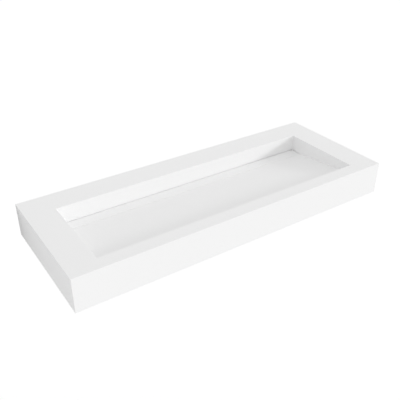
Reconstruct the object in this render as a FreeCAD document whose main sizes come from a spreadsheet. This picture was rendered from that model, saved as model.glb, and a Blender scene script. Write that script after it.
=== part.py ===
import FreeCAD, Part
import Sketcher
import os

# Wall-hung basin built up from flat sheets of solid surface. Its floor falls towards the rear and
# drains through a slit into a trough, which a lift-out cover hides.
# Millimetres. x runs to the right, y towards the wall and z up. The wall is the plane y = 0 and the
# origin is the centre of the four wall bolts. Each piece is drawn with z measured from the deck's
# top face, and its placement then raises it by bolt_drop.

driving_sizes = {
    # whole basin
    "basin_width": 1210,
    "basin_depth": 460,
    "basin_height": 120,
    "sheet": 12,
    "arris": 1,
    "bolt_drop": 64,
    # bowl opening in the deck, and the levels inside it measured down from the deck's top
    "side_margin": 100,
    "front_margin": 50,
    "rear_margin": 100,
    "floor_front_level": 31,
    "cover_level": 62.5,
    "trough_headroom": 25.5,
    "trough_side_gap": 6.5,
    "wall_lap": 2,
    # lift-out cover and what it rests on
    "cover_setback": 46,
    "cover_joint": 0.8,
    "cover_slit": 1.6,
    "cover_end_gap": 1.5,
    "cover_arris": 0.5,
    "bumper_diameter": 6,
    "bumper_height": 2,
    "ledge_reach": 10,
    "ledge_height": 7.5,
    "lug_width": 20,
    "lug_reach": 12,
    "lug_height": 15,
    # plywood and blocks under the bowl
    "rib_thickness": 18,
    "glue_block_length": 40,
    "glue_block_gap": 6,
    "support_front_gap": 78,
    "support_rear_gap": 40,
    # wall brackets
    "bracket_side_gap": 8,
    "plate_top_gap": 4,
    "plate_thickness": 6,
    "plate_corner": 6,
    "wall_hole_diameter": 11,
    "wall_hole_edge": 14,
    "arm_width": 30,
    "arm_height": 40,
    "arm_wall": 3,
    "arm_corner": 4,
    "arm_front_gap": 88,
    "cap_lip": 3,
    "cap_plug": 12,
    "pad_thickness": 3,
    "pad_end_gap": 5,
    # bolts that draw the basin down on the arms
    "rear_bolt_reach": 90,
    "front_bolt_gap": 60,
    "bolt_diameter": 8,
    "bolt_play": 0.5,
    "bolt_end_gap": 3,
    "bolt_head_flats": 13,
    "bolt_head_height": 5.3,
    "bolt_point": 0.8,
    "washer_diameter": 16,
    "washer_thickness": 1.6,
    "insert_wall": 2,
    "insert_top_gap": 11,
    "insert_flange_lap": 2,
    "insert_flange": 1.5,
    # waste fitting, on the middle of the trough
    "waste_hole_diameter": 46,
    "strainer_lap": 8.5,
    "strainer_gauge": 1.5,
    "dish_gap": 1.5,
    "dish_slope_run": 3,
    "dish_depth": 5,
    "strainer_hole_diameter": 5,
    "strainer_hole_circle": 26,
    "strainer_gasket_height": 2,
    "tail_gasket_height": 3,
    "gasket_inset": 0.5,
    "neck_clearance": 0.5,
    "neck_top_gap": 1.5,
    "tail_flange_lap": 7,
    "tail_flange": 3,
    "tail_diameter": 41.9,
    "tail_wall": 3.45,
    "tail_thread_length": 25,
    "tail_relief_length": 9,
    "tail_relief_depth": 0.8,
    "tail_lead_in": 1,
    "bridge_width": 7,
    "bridge_height": 8,
    "bridge_drop": 6,
    "boss_diameter": 13,
    "screw_diameter": 6,
    "screw_head_diameter": 12,
    "screw_head_height": 3,
    "screw_slot_width": 1.6,
    "screw_slot_depth": 1.5,
    # room between pieces that fit, closely and loosely, and how far every cut runs past its face
    "fit_clearance": 0.05,
    "loose_clearance": 0.15,
    "cut_overrun": 5,
}
# Places along the bowl, as shares of half its width
lug_place_shares = (-0.83, -0.34, 0.34, 0.83)
rib_spread_share = 0.6
glue_block_spread_share = 0.9
glue_block_count = 6
strainer_hole_count = 8
hex_side_count = 6
# A feature that changes a piece's volume by less than this share has missed it
least_change_share = 1e-6

doc = FreeCAD.newDocument("wall_hung_basin")
sizes = doc.addObject("Spreadsheet::Sheet", "sizes")
for row, (alias, number) in enumerate(driving_sizes.items(), start=1):
    sizes.set(f"A{row}", alias)
    sizes.set(f"B{row}", str(number))
    sizes.setAlias(f"B{row}", alias)
doc.recompute()

# Places that several pieces share, worked out from the driving sizes
half_width = "(sizes.basin_width / 2)"
front_face = "(-sizes.basin_depth)"
front_inside = "(sizes.sheet - sizes.basin_depth)"
bowl_half = "(sizes.basin_width / 2 - sizes.side_margin)"
bowl_half_outside = f"({bowl_half} + sizes.sheet)"
bowl_front = "(sizes.front_margin - sizes.basin_depth)"
bowl_rear = "(-sizes.rear_margin)"
deck_under = "(-sizes.sheet)"
joint_line = f"({bowl_rear} - sizes.cover_setback)"
floor_slope = f"((sizes.cover_level - sizes.floor_front_level) / ({joint_line} - {bowl_front}))"
floor_upright = f"(sizes.sheet * sqrt(1 + {floor_slope} * {floor_slope}))"
strainer_diameter = "(sizes.waste_hole_diameter + 2 * sizes.strainer_lap)"
tail_flange_diameter = "(sizes.waste_hole_diameter + 2 * sizes.tail_flange_lap)"
trough_width = f"({strainer_diameter} + 2 * sizes.trough_side_gap)"
trough_front = f"({bowl_rear} - {trough_width})"
trough_front_outside = f"({trough_front} - sizes.sheet)"
trough_top = "(-sizes.cover_level - sizes.sheet - sizes.trough_headroom)"
trough_bottom = f"({trough_top} - sizes.sheet)"
support_level = "(-sizes.cover_level - sizes.sheet - sizes.bumper_height)"
rib_place = f"({rib_spread_share} * {bowl_half})"
bracket_place = "((sizes.basin_width - sizes.side_margin) / 2)"
bracket_half = "(sizes.side_margin / 2 - sizes.sheet - sizes.bracket_side_gap)"
plate_half_height = "(sizes.bolt_drop - sizes.sheet - sizes.plate_top_gap)"
arm_front = f"({front_inside} + sizes.arm_front_gap)"
arm_half = "(sizes.arm_width / 2)"
arm_top = "(sizes.arm_height / 2 - sizes.bolt_drop)"
arm_bottom = "(-sizes.arm_height / 2 - sizes.bolt_drop)"
support_bottom = f"({arm_top} + sizes.pad_thickness)"
support_front = f"({front_inside} + sizes.support_front_gap)"
bolt_rows = ("(-sizes.rear_bolt_reach)", f"({arm_front} + sizes.front_bolt_gap)")
bolt_hole = "(sizes.bolt_diameter + 2 * sizes.bolt_play)"
insert_top = f"({deck_under} - sizes.insert_top_gap)"
insert_diameter = "(sizes.bolt_diameter + 2 * sizes.insert_wall)"
insert_flange_diameter = f"({insert_diameter} + 2 * sizes.insert_flange_lap)"
waste_place = f"({bowl_rear} - {trough_width} / 2)"
strainer_seat = f"({trough_top} + sizes.strainer_gasket_height)"
dish_under = f"({strainer_seat} - sizes.dish_depth)"
neck_top = f"({dish_under} - sizes.neck_top_gap)"
tail_seat = f"({trough_bottom} - sizes.tail_gasket_height)"
tail_flange_under = f"({tail_seat} - sizes.tail_flange)"
tail_end = f"({tail_flange_under} - sizes.tail_relief_length - sizes.tail_thread_length)"
bridge_top = f"({neck_top} - sizes.bridge_drop)"
bridge_under = f"({bridge_top} - sizes.bridge_height)"


def floor_top(place):
    return f"(-sizes.cover_level - {floor_slope} * ({place} - {joint_line}))"


def floor_under(place):
    return f"({floor_top(place)} - {floor_upright})"


front_wall_bottom = f"({floor_under(bowl_front)} - sizes.wall_lap)"


def worth(expression):
    return float(sizes.evalExpression(expression))


# Bodies, sketches and features
def new_body(label, across="0", along="0"):
    body = doc.addObject("PartDesign::Body", label)
    body.Label = label
    body.setExpression("Placement.Base.x", across)
    body.setExpression("Placement.Base.y", along)
    body.setExpression("Placement.Base.z", "sizes.bolt_drop")
    return body


def new_sketch(body, role, offset="0"):
    plane = next(item for item in body.Origin.OriginFeatures if item.Role == role)
    sketch = body.newObject("Sketcher::SketchObject", f"{body.Label}_sketch")
    sketch.AttachmentSupport = [(plane, "")]
    sketch.MapMode = "FlatFace"
    sketch.setExpression("AttachmentOffset.Base.z", offset)
    return sketch


def pin_point(sketch, line, end, across, up):
    for kind, axis, place in (("DistanceX", -2, across), ("DistanceY", -1, up)):
        if place == "0":
            sketch.addConstraint(Sketcher.Constraint("PointOnObject", line, end, axis))
        else:
            pin = Sketcher.Constraint(kind, -1, 1, line, end, worth(place))
            number = sketch.addConstraint(pin)
            sketch.setExpression(f"Constraints[{number}]", place)


def draw_outline(sketch, corners):
    places = [FreeCAD.Vector(worth(across), worth(up), 0) for across, up in corners]
    first = sketch.GeometryCount
    count = len(places)
    for k in range(count):
        sketch.addGeometry(Part.LineSegment(places[k], places[(k + 1) % count]))
    for k, (across, up) in enumerate(corners):
        before = first + (k - 1) % count
        sketch.addConstraint(Sketcher.Constraint("Coincident", before, 2, first + k, 1))
        pin_point(sketch, first + k, 1, across, up)


def draw_rectangle(sketch, left, bottom, right, top):
    draw_outline(sketch, [(left, bottom), (right, bottom), (right, top), (left, top)])


def draw_circle(sketch, across, up, diameter):
    centre = FreeCAD.Vector(worth(across), worth(up), 0)
    ring = Part.Circle(centre, FreeCAD.Vector(0, 0, 1), worth(diameter) / 2)
    number = sketch.addGeometry(ring)
    pin_point(sketch, number, 3, across, up)
    size = sketch.addConstraint(Sketcher.Constraint("Diameter", number, worth(diameter)))
    sketch.setExpression(f"Constraints[{size}]", diameter)


def add_feature(body, kind, sketch, length, side="One side", reverse=False):
    before = body.Shape.Volume if body.Tip else 0
    feature = body.newObject(f"PartDesign::{kind}", f"{body.Label}_{kind.lower()}")
    feature.Profile = sketch
    feature.SideType = side
    feature.Reversed = reverse
    feature.setExpression("Length", length)
    doc.recompute()
    change = body.Shape.Volume - before
    least_change = least_change_share * body.Shape.Volume
    if abs(change) < least_change or (change > 0) != (kind == "Pad"):
        raise RuntimeError(f"{body.Label}: {kind} did not change the volume as it should")
    return feature


def revolve(body, sketch):
    feature = body.newObject("PartDesign::Revolution", f"{body.Label}_revolution")
    feature.Profile = sketch
    feature.ReferenceAxis = (sketch, ["V_Axis"])
    doc.recompute()
    return feature


def ease_edges(body, kind, size_name, size, wanted):
    # wanted is a test on an edge
    base = body.Tip
    edges = enumerate(base.Shape.Edges, start=1)
    names = [f"Edge{number}" for number, edge in edges if wanted(edge)]
    easing = body.newObject(f"PartDesign::{kind}", f"{body.Label}_{kind.lower()}")
    easing.Base = (base, names)
    easing.setExpression(size_name, size)
    doc.recompute()
    return easing


def round_edges(body, radius, wanted):
    return ease_edges(body, "Fillet", "Radius", radius, wanted)


def chamfer_edges(body, size, wanted):
    return ease_edges(body, "Chamfer", "Size", size, wanted)


def span(edge, axis):
    box = edge.BoundBox
    return getattr(box, f"{axis}Min"), getattr(box, f"{axis}Max")


def lies_at(edge, axis, *places):
    slack = worth("sizes.fit_clearance")
    low, high = span(edge, axis)
    return any(abs(low - worth(place)) < slack and abs(high - worth(place)) < slack for place in places)


def runs_along(edge, axis):
    slack = worth("sizes.fit_clearance")
    low, high = span(edge, axis)
    return high - low > slack and abs(edge.Length - (high - low)) < slack


def block(label, low, high):
    # plain block between two corners, each a triple of expressions
    box = doc.addObject("Part::Box", label)
    box.Label = label
    for size, axis, start, stop in zip(("Length", "Width", "Height"), "xyz", low, high):
        box.setExpression(size, f"{stop} - {start}")
        raised = " + sizes.bolt_drop" if axis == "z" else ""
        box.setExpression(f"Placement.Base.{axis}", f"{start}{raised}")
    return box


def group(label, members):
    whole = doc.addObject("Part::Compound", label)
    whole.Label = label
    whole.Links = members
    return whole


# Sheets of the outer box. Their outer edges are mitred, so each joint lies on the arris itself.
def mitre(sketch, outer_across, outer_up, in_across, in_up, keep_low):
    # cuts along the slanting line from an outer corner, with in_ giving the way inwards as a sign
    run = "(sizes.sheet + sizes.cut_overrun)"
    past = "sizes.cut_overrun"
    start = (f"{outer_across} - {in_across} * {past}", f"{outer_up} - {in_up} * {past}")
    stop = (f"{outer_across} + {in_across} * {run}", f"{outer_up} + {in_up} * {run}")
    corner = (stop[0], start[1]) if keep_low else (start[0], stop[1])
    draw_outline(sketch, [start, stop, corner])


def top_deck():
    body = new_body("top_deck")
    plan = new_sketch(body, "XY_Plane")
    draw_rectangle(plan, f"-{half_width}", front_face, half_width, "0")
    add_feature(body, "Pad", plan, "sizes.sheet", reverse=True)

    def outer(edge):
        front = lies_at(edge, "Y", front_face)
        side = lies_at(edge, "X", f"-{half_width}", half_width)
        top = lies_at(edge, "Z", "0")
        return (top and (front or side)) or (front and side)

    round_edges(body, "sizes.arris", outer)
    front_cut = new_sketch(body, "YZ_Plane")
    mitre(front_cut, front_face, "0", "1", "-1", keep_low=False)
    add_feature(body, "Pocket", front_cut, "sizes.basin_width + 2 * sizes.cut_overrun", side="Symmetric")
    side_cut = new_sketch(body, "XZ_Plane")
    mitre(side_cut, f"-{half_width}", "0", "1", "-1", keep_low=False)
    mitre(side_cut, half_width, "0", "-1", "-1", keep_low=False)
    add_feature(body, "Pocket", side_cut, "2 * (sizes.basin_depth + sizes.cut_overrun)", side="Symmetric")
    opening = new_sketch(body, "XY_Plane")
    draw_rectangle(opening, f"-{bowl_half}", bowl_front, bowl_half, bowl_rear)
    add_feature(body, "Pocket", opening, "2 * (sizes.sheet + sizes.cut_overrun)", side="Symmetric")

    def inner(edge):
        long = lies_at(edge, "Y", bowl_front, bowl_rear)
        short = lies_at(edge, "X", f"-{bowl_half}", bowl_half)
        return lies_at(edge, "Z", "0") and (long or short)

    round_edges(body, "sizes.arris", inner)
    return body


def front_apron():
    body = new_body("front_apron")
    face = new_sketch(body, "XZ_Plane", "sizes.basin_depth")
    draw_rectangle(face, f"-{half_width}", "-sizes.basin_height", half_width, "0")
    add_feature(body, "Pad", face, "sizes.sheet", reverse=True)

    def outer(edge):
        front = lies_at(edge, "Y", front_face)
        side = lies_at(edge, "X", f"-{half_width}", half_width)
        top = lies_at(edge, "Z", "0")
        return front or (side and top)

    round_edges(body, "sizes.arris", outer)
    top_cut = new_sketch(body, "YZ_Plane")
    mitre(top_cut, front_face, "0", "1", "-1", keep_low=True)
    add_feature(body, "Pocket", top_cut, "sizes.basin_width + 2 * sizes.cut_overrun", side="Symmetric")
    end_cut = new_sketch(body, "XY_Plane")
    mitre(end_cut, f"-{half_width}", front_face, "1", "1", keep_low=False)
    mitre(end_cut, half_width, front_face, "-1", "1", keep_low=False)
    add_feature(body, "Pocket", end_cut, "2 * (sizes.basin_height + sizes.cut_overrun)", side="Symmetric")
    return body


def side_apron(label, sign):
    body = new_body(label)
    outside = f"{sign}{half_width}"
    face = new_sketch(body, "YZ_Plane", outside)
    draw_rectangle(face, front_face, "-sizes.basin_height", "0", "0")
    add_feature(body, "Pad", face, "sizes.sheet", reverse=(sign == ""))

    def outer(edge):
        side = lies_at(edge, "X", outside)
        front = lies_at(edge, "Y", front_face)
        wall = lies_at(edge, "Y", "0")
        top = lies_at(edge, "Z", "0")
        return (side and not wall) or (front and top)

    round_edges(body, "sizes.arris", outer)
    inwards = "1" if sign == "-" else "-1"
    top_cut = new_sketch(body, "XZ_Plane")
    mitre(top_cut, outside, "0", inwards, "-1", keep_low=True)
    add_feature(body, "Pocket", top_cut, "2 * (sizes.basin_depth + sizes.cut_overrun)", side="Symmetric")
    end_cut = new_sketch(body, "XY_Plane")
    mitre(end_cut, outside, front_face, inwards, "1", keep_low=True)
    add_feature(body, "Pocket", end_cut, "2 * (sizes.basin_height + sizes.cut_overrun)", side="Symmetric")
    return body


def rear_rail():
    low = (f"-{bowl_half_outside}", "-sizes.sheet", trough_bottom)
    high = (bowl_half_outside, "0", deck_under)
    return block("rear_rail", low, high)


# Bowl and trough, glued up under the opening so that their faces are flush with its edges
def bowl_front_wall():
    low = (f"-{bowl_half_outside}", f"({bowl_front} - sizes.sheet)", front_wall_bottom)
    high = (bowl_half_outside, bowl_front, deck_under)
    return block("bowl_front_wall", low, high)


def bowl_rear_wall():
    low = (f"-{bowl_half_outside}", bowl_rear, trough_bottom)
    high = (bowl_half_outside, f"({bowl_rear} + sizes.sheet)", deck_under)
    return block("bowl_rear_wall", low, high)


def long_piece(label, corners, length, across="0"):
    # same section all along x, given as (y, z) corners
    body = new_body(label, across)
    section = new_sketch(body, "YZ_Plane")
    draw_outline(section, corners)
    add_feature(body, "Pad", section, length, side="Symmetric")
    return body


def bowl_side_wall(label, sign):
    corners = [
        (bowl_front, deck_under),
        (bowl_front, front_wall_bottom),
        (trough_front_outside, trough_bottom),
        (bowl_rear, trough_bottom),
        (bowl_rear, deck_under),
    ]
    return long_piece(label, corners, "sizes.sheet", f"{sign}({bowl_half} + sizes.sheet / 2)")


def bowl_floor():
    corners = [
        (bowl_front, floor_top(bowl_front)),
        (bowl_front, floor_under(bowl_front)),
        (joint_line, floor_under(joint_line)),
        (joint_line, floor_top(joint_line)),
    ]
    return long_piece("bowl_floor", corners, f"2 * {bowl_half}")


def trough_front_wall():
    corners = [
        (trough_front_outside, floor_under(trough_front_outside)),
        (trough_front_outside, trough_bottom),
        (trough_front, trough_bottom),
        (trough_front, floor_under(trough_front)),
    ]
    return long_piece("trough_front_wall", corners, f"2 * {bowl_half}")


def trough_floor():
    body = new_body("trough_floor")
    plan = new_sketch(body, "XY_Plane", trough_top)
    draw_rectangle(plan, f"-{bowl_half}", trough_front, bowl_half, bowl_rear)
    draw_circle(plan, "0", waste_place, "sizes.waste_hole_diameter")
    add_feature(body, "Pad", plan, "sizes.sheet", reverse=True)
    return body


# Lift-out cover and its rests
def cover_ledge():
    ledge_rear = f"({joint_line} + sizes.ledge_reach)"
    ledge_bottom = f"({support_level} - sizes.ledge_height)"
    corners = [
        (trough_front, floor_under(trough_front)),
        (trough_front, ledge_bottom),
        (ledge_rear, ledge_bottom),
        (ledge_rear, support_level),
        (joint_line, support_level),
        (joint_line, floor_under(joint_line)),
    ]
    return long_piece("cover_ledge", corners, f"2 * {bowl_half}")


lug_places = [f"({share} * {bowl_half})" for share in lug_place_shares]


def cover_lugs():
    lugs = []
    lug_front = f"({bowl_rear} - sizes.lug_reach)"
    lug_bottom = f"({support_level} - sizes.lug_height)"
    for number, place in enumerate(lug_places):
        low = (f"({place} - sizes.lug_width / 2)", lug_front, lug_bottom)
        high = (f"({place} + sizes.lug_width / 2)", bowl_rear, support_level)
        lugs.append(block(f"cover_lug_{number}", low, high))
    return group("cover_lugs", lugs)


def drain_cover():
    body = new_body("drain_cover")
    half_length = f"({bowl_half} - sizes.cover_end_gap)"
    plan = new_sketch(body, "XY_Plane", "-sizes.cover_level")
    front = f"({joint_line} + sizes.cover_joint)"
    rear = f"({bowl_rear} - sizes.cover_slit)"
    draw_rectangle(plan, f"-{half_length}", front, half_length, rear)
    add_feature(body, "Pad", plan, "sizes.sheet", reverse=True)
    round_edges(body, "sizes.cover_arris", lambda edge: True)
    return body


def cover_bumpers():
    front_row = f"({joint_line} + sizes.ledge_reach / 2)"
    rear_row = f"({bowl_rear} - (sizes.lug_reach + sizes.cover_slit) / 2)"
    bumpers = []
    for along in (front_row, rear_row):
        for across in lug_places:
            bumper = doc.addObject("Part::Cylinder", f"cover_bumper_{len(bumpers)}")
            bumper.setExpression("Radius", "sizes.bumper_diameter / 2")
            bumper.setExpression("Height", "sizes.bumper_height")
            bumper.setExpression("Placement.Base.x", across)
            bumper.setExpression("Placement.Base.y", along)
            bumper.setExpression("Placement.Base.z", f"{support_level} + sizes.bolt_drop")
            bumpers.append(bumper)
    return group("cover_bumpers", bumpers)


# Plywood and blocks that stiffen the sheets from below
def floor_rib(label, across):
    corners = [
        (front_inside, front_wall_bottom),
        (front_inside, trough_bottom),
        (trough_front_outside, trough_bottom),
        (trough_front_outside, floor_under(trough_front_outside)),
        (bowl_front, floor_under(bowl_front)),
        (bowl_front, front_wall_bottom),
    ]
    return long_piece(label, corners, "sizes.rib_thickness", across)


def glue_blocks():
    side = "(sizes.front_margin - 2 * sizes.sheet - sizes.glue_block_gap)"
    half_length = "(sizes.glue_block_length / 2)"
    blocks = []
    for k in range(glue_block_count):
        share = glue_block_spread_share * (2 * k / (glue_block_count - 1) - 1)
        place = f"({share} * {bowl_half})"
        low = (f"({place} - {half_length})", front_inside, f"({deck_under} - {side})")
        high = (f"({place} + {half_length})", f"({front_inside} + {side})", deck_under)
        blocks.append(block(f"glue_block_{k}", low, high))
    return group("glue_blocks", blocks)


def support_block(label, across):
    body = new_body(label, across)
    plan = new_sketch(body, "XY_Plane", support_bottom)
    draw_rectangle(plan, f"-{bracket_half}", support_front, bracket_half, "-sizes.support_rear_gap")
    for along in bolt_rows:
        draw_circle(plan, "0", along, f"{insert_diameter} + 2 * sizes.fit_clearance")
    add_feature(body, "Pad", plan, f"{deck_under} - {support_bottom}")
    recess = new_sketch(body, "XY_Plane", support_bottom)
    for along in bolt_rows:
        draw_circle(recess, "0", along, f"{insert_flange_diameter} + 2 * sizes.fit_clearance")
    add_feature(body, "Pocket", recess, "sizes.insert_flange", reverse=True)
    return body


def threaded_inserts(places):
    bore = "sizes.bolt_diameter + 2 * sizes.fit_clearance"
    inserts = []
    for number, (across, along) in enumerate(places):
        body = new_body(f"threaded_insert_{number}", across, along)
        flange = new_sketch(body, "XY_Plane", support_bottom)
        draw_circle(flange, "0", "0", insert_flange_diameter)
        draw_circle(flange, "0", "0", bore)
        add_feature(body, "Pad", flange, "sizes.insert_flange")
        barrel = new_sketch(body, "XY_Plane", support_bottom)
        draw_circle(barrel, "0", "0", insert_diameter)
        draw_circle(barrel, "0", "0", bore)
        add_feature(body, "Pad", barrel, f"{insert_top} - {support_bottom}")
        inserts.append(body)
    return group("threaded_inserts", inserts)


# Wall brackets: a plate with two wall bolt holes and a square tube welded to it as an arm
def wall_bracket(label, across):
    body = new_body(label, across)
    face = new_sketch(body, "XZ_Plane")
    plate_low = f"(-sizes.bolt_drop - {plate_half_height})"
    plate_high = f"(-sizes.bolt_drop + {plate_half_height})"
    draw_rectangle(face, f"-{bracket_half}", plate_low, bracket_half, plate_high)
    add_feature(body, "Pad", face, "sizes.plate_thickness")
    round_edges(body, "sizes.plate_corner", lambda edge: runs_along(edge, "Y"))
    holes = new_sketch(body, "XZ_Plane")
    for way in ("+", "-"):
        up = f"-sizes.bolt_drop {way} ({plate_half_height} - sizes.wall_hole_edge)"
        draw_circle(holes, "0", up, "sizes.wall_hole_diameter")
    add_feature(body, "Pocket", holes, "2 * (sizes.plate_thickness + sizes.cut_overrun)", side="Symmetric")
    arm = new_sketch(body, "XZ_Plane", "sizes.plate_thickness")
    draw_rectangle(arm, f"-{arm_half}", arm_bottom, arm_half, arm_top)
    inside = f"({arm_half} - sizes.arm_wall)"
    hollow_low = f"({arm_bottom} + sizes.arm_wall)"
    hollow_high = f"({arm_top} - sizes.arm_wall)"
    draw_rectangle(arm, f"-{inside}", hollow_low, inside, hollow_high)
    add_feature(body, "Pad", arm, f"-{arm_front} - sizes.plate_thickness")

    def arm_corner(edge):
        side = lies_at(edge, "X", f"-{arm_half}", arm_half)
        return side and lies_at(edge, "Z", arm_bottom, arm_top) and runs_along(edge, "Y")

    round_edges(body, "sizes.arm_corner", arm_corner)
    bolt_holes = new_sketch(body, "XY_Plane", "-sizes.bolt_drop")
    for along in bolt_rows:
        draw_circle(bolt_holes, "0", along, bolt_hole)
    add_feature(body, "Pocket", bolt_holes, "sizes.arm_height + 2 * sizes.cut_overrun", side="Symmetric")
    return body


def arm_cap(label, across):
    body = new_body(label, across)
    lip = new_sketch(body, "XZ_Plane", f"-{arm_front}")
    draw_rectangle(lip, f"-{arm_half}", arm_bottom, arm_half, arm_top)
    add_feature(body, "Pad", lip, "sizes.cap_lip")
    round_edges(body, "sizes.arm_corner", lambda edge: runs_along(edge, "Y"))
    plug = new_sketch(body, "XZ_Plane", f"-{arm_front}")
    inset = "(sizes.arm_wall + sizes.loose_clearance)"
    side = f"({arm_half} - {inset})"
    draw_rectangle(plug, f"-{side}", f"({arm_bottom} + {inset})", side, f"({arm_top} - {inset})")
    add_feature(body, "Pad", plug, "sizes.cap_plug", reverse=True)
    return body


def bracket_pad(label, across):
    body = new_body(label, across)
    plan = new_sketch(body, "XY_Plane", arm_top)
    front = f"({arm_front} + sizes.pad_end_gap)"
    rear = "(-sizes.support_rear_gap - sizes.pad_end_gap)"
    flat = f"({arm_half} - sizes.arm_corner)"
    draw_rectangle(plan, f"-{flat}", front, flat, rear)
    for along in bolt_rows:
        draw_circle(plan, "0", along, bolt_hole)
    add_feature(body, "Pad", plan, "sizes.pad_thickness")
    return body


def bracket_bolts(places):
    bolts = []
    head_top = f"({arm_bottom} - sizes.washer_thickness)"
    shank_end = f"({insert_top} - sizes.bolt_end_gap)"
    turn = 360 / hex_side_count
    corner = f"(sizes.bolt_head_flats / 2 / cos({turn / 2} deg))"
    hexagon = [
        (f"{corner} * cos({k * turn} deg)", f"{corner} * sin({k * turn} deg)")
        for k in range(hex_side_count)
    ]
    for number, (across, along) in enumerate(places):
        body = new_body(f"bracket_bolt_{number}", across, along)
        head = new_sketch(body, "XY_Plane", head_top)
        draw_outline(head, hexagon)
        add_feature(body, "Pad", head, "sizes.bolt_head_height", reverse=True)
        shank = new_sketch(body, "XY_Plane", head_top)
        draw_circle(shank, "0", "0", "sizes.bolt_diameter")
        add_feature(body, "Pad", shank, f"{shank_end} - {head_top}")
        chamfer_edges(body, "sizes.bolt_point", lambda edge: lies_at(edge, "Z", shank_end))
        bolts.append(body)
    return group("bracket_bolts", bolts)


def ring(label, top, height, outer, inner, across="0", along="0"):
    # flat ring that hangs down from the level top
    body = new_body(label, across, along)
    plan = new_sketch(body, "XY_Plane", top)
    draw_circle(plan, "0", "0", outer)
    draw_circle(plan, "0", "0", inner)
    add_feature(body, "Pad", plan, height, reverse=True)
    return body


def bracket_washers(places):
    outer = "sizes.washer_diameter"
    inner = "sizes.bolt_diameter + 2 * sizes.loose_clearance"
    washers = []
    for number, (across, along) in enumerate(places):
        label = f"bracket_washer_{number}"
        washer = ring(label, arm_bottom, "sizes.washer_thickness", outer, inner, across, along)
        washers.append(washer)
    return group("bracket_washers", washers)


# Waste fitting: strainer plate in the trough, drawn down by a screw into the tail below it
def waste_strainer():
    body = new_body("waste_strainer", along=waste_place)
    rim = f"({strainer_diameter} / 2)"
    rim_inside = "(sizes.waste_hole_diameter / 2 - sizes.dish_gap)"
    dish = f"({rim_inside} - sizes.dish_slope_run)"
    hole = "(sizes.screw_diameter / 2 + sizes.fit_clearance)"
    section = new_sketch(body, "XZ_Plane")
    corners = [
        (hole, dish_under),
        (dish, dish_under),
        (rim_inside, strainer_seat),
        (rim, strainer_seat),
        (rim, f"({strainer_seat} + sizes.strainer_gauge)"),
        (rim_inside, f"({strainer_seat} + sizes.strainer_gauge)"),
        (dish, f"({dish_under} + sizes.strainer_gauge)"),
        (hole, f"({dish_under} + sizes.strainer_gauge)"),
    ]
    draw_outline(section, corners)
    revolve(body, section)
    first_hole = new_sketch(body, "XY_Plane", dish_under)
    draw_circle(first_hole, "sizes.strainer_hole_circle / 2", "0", "sizes.strainer_hole_diameter")
    drilling = "2 * (sizes.strainer_gauge + sizes.cut_overrun)"
    drilled = add_feature(body, "Pocket", first_hole, drilling, side="Symmetric")
    pattern = body.newObject("PartDesign::PolarPattern", "strainer_holes")
    pattern.Originals = [drilled]
    pattern.Axis = (first_hole, ["N_Axis"])
    pattern.Angle = 360
    pattern.Occurrences = strainer_hole_count
    body.Tip = pattern
    doc.recompute()
    return body


def strainer_gasket():
    outer = f"{strainer_diameter} - 2 * sizes.gasket_inset"
    inner = "sizes.waste_hole_diameter + 2 * sizes.gasket_inset"
    height = "sizes.strainer_gasket_height"
    return ring("strainer_gasket", strainer_seat, height, outer, inner, along=waste_place)


def tail_gasket():
    outer = f"{tail_flange_diameter} - 2 * sizes.gasket_inset"
    inner = "sizes.waste_hole_diameter + 2 * sizes.gasket_inset"
    height = "sizes.tail_gasket_height"
    return ring("tail_gasket", trough_bottom, height, outer, inner, along=waste_place)


def waste_tail():
    body = new_body("waste_tail", along=waste_place)
    thread = "(sizes.tail_diameter / 2)"
    bore = f"({thread} - sizes.tail_wall)"
    neck = "(sizes.waste_hole_diameter / 2 - sizes.neck_clearance)"
    flange = f"({tail_flange_diameter} / 2)"
    relief = f"({thread} - sizes.tail_relief_depth)"
    thread_top = f"({tail_end} + sizes.tail_thread_length + sizes.tail_lead_in)"
    section = new_sketch(body, "XZ_Plane")
    corners = [
        (bore, neck_top),
        (bore, tail_end),
        (f"({thread} - sizes.tail_lead_in)", tail_end),
        (thread, f"({tail_end} + sizes.tail_lead_in)"),
        (thread, thread_top),
        (relief, thread_top),
        (relief, tail_flange_under),
        (flange, tail_flange_under),
        (flange, tail_seat),
        (neck, tail_seat),
        (neck, neck_top),
    ]
    draw_outline(section, corners)
    revolve(body, section)
    bridge = new_sketch(body, "XY_Plane", bridge_top)
    reach = f"({bore} + sizes.fit_clearance)"
    draw_rectangle(bridge, f"-{reach}", "-sizes.bridge_width / 2", reach, "sizes.bridge_width / 2")
    add_feature(body, "Pad", bridge, "sizes.bridge_height", reverse=True)
    boss = new_sketch(body, "XY_Plane", bridge_top)
    draw_circle(boss, "0", "0", "sizes.boss_diameter")
    add_feature(body, "Pad", boss, "sizes.bridge_height", reverse=True)
    tapping = new_sketch(body, "XY_Plane", bridge_top)
    draw_circle(tapping, "0", "0", "sizes.screw_diameter + 2 * sizes.fit_clearance")
    add_feature(body, "Pocket", tapping, "2 * (sizes.bridge_height + sizes.cut_overrun)", side="Symmetric")
    return body


def waste_screw():
    body = new_body("waste_screw", along=waste_place)
    seat = f"({dish_under} + sizes.strainer_gauge)"
    shank = "(sizes.screw_diameter / 2)"
    head = "(sizes.screw_head_diameter / 2)"
    section = new_sketch(body, "XZ_Plane")
    corners = [
        ("0", bridge_under),
        (shank, bridge_under),
        (shank, seat),
        (head, seat),
        (head, f"({seat} + sizes.screw_head_height / 2)"),
        (shank, f"({seat} + sizes.screw_head_height)"),
        ("0", f"({seat} + sizes.screw_head_height)"),
    ]
    draw_outline(section, corners)
    revolve(body, section)
    slot = new_sketch(body, "XY_Plane", f"({seat} + sizes.screw_head_height)")
    reach = f"({head} + sizes.cut_overrun)"
    draw_rectangle(slot, f"-{reach}", "-sizes.screw_slot_width / 2", reach, "sizes.screw_slot_width / 2")
    add_feature(body, "Pocket", slot, "sizes.screw_slot_depth")
    return body


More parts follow.
